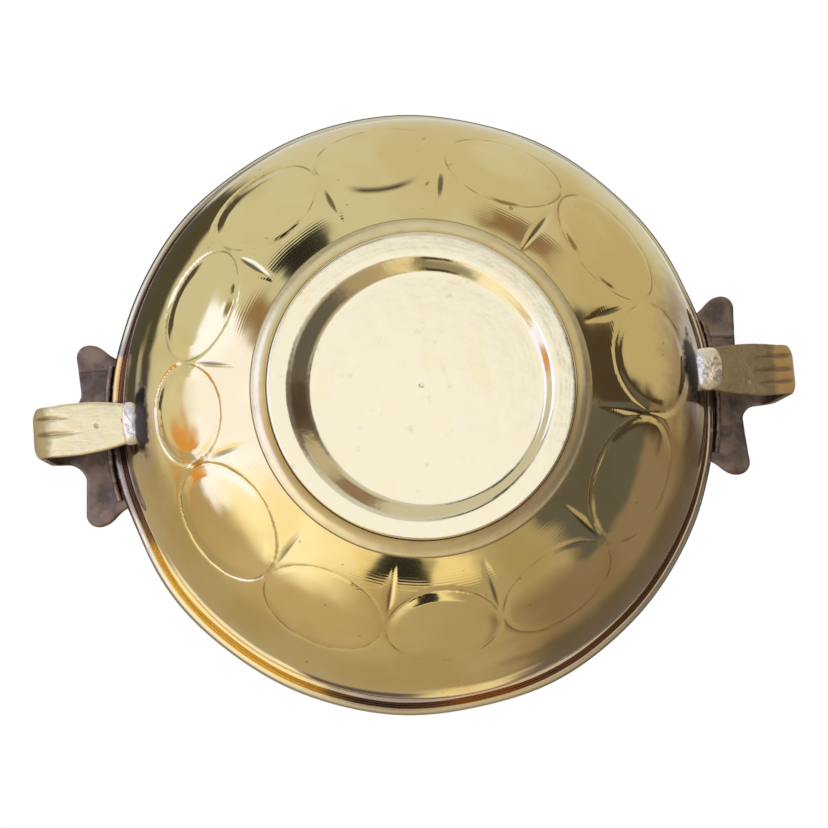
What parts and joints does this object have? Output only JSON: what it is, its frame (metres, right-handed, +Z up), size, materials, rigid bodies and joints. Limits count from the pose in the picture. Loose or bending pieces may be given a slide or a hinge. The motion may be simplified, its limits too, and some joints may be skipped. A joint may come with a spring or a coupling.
{
  "type": "urli",
  "caption": "Shallow round brass bowl with a wide lip and cut ornament, on a turned foot, with a lobed plate handle curled down to the wall on each side.",
  "frame": {"origin": "on the bowl's axis, in the plane of the foot's crest that the urli stands on", "axes": "+X through one handle, -X through the other, +Z up out of the bowl's mouth"},
  "size_m": [0.1804, 0.1492, 0.0484],
  "materials": {
    "bowl_brass": "polished, spun and hand cut",
    "foot_brass": "turned, with fine rings",
    "brazing": "dull fillet",
    "handle_brass": "cast, filed strap and tarnished plate",
    "solder": "tin solder, filed and burnt at its edge"
  },
  "bodies": {
    "root": {"bowl": "bowl_brass", "foot": "foot_brass", "foot_solder": "brazing", "handle_left": "handle_brass", "handle_right": "handle_brass", "rim_solder_left": "solder", "rim_solder_right": "solder", "wall_solder_left": "solder", "wall_solder_right": "solder"}
  },
  "joints": []
}
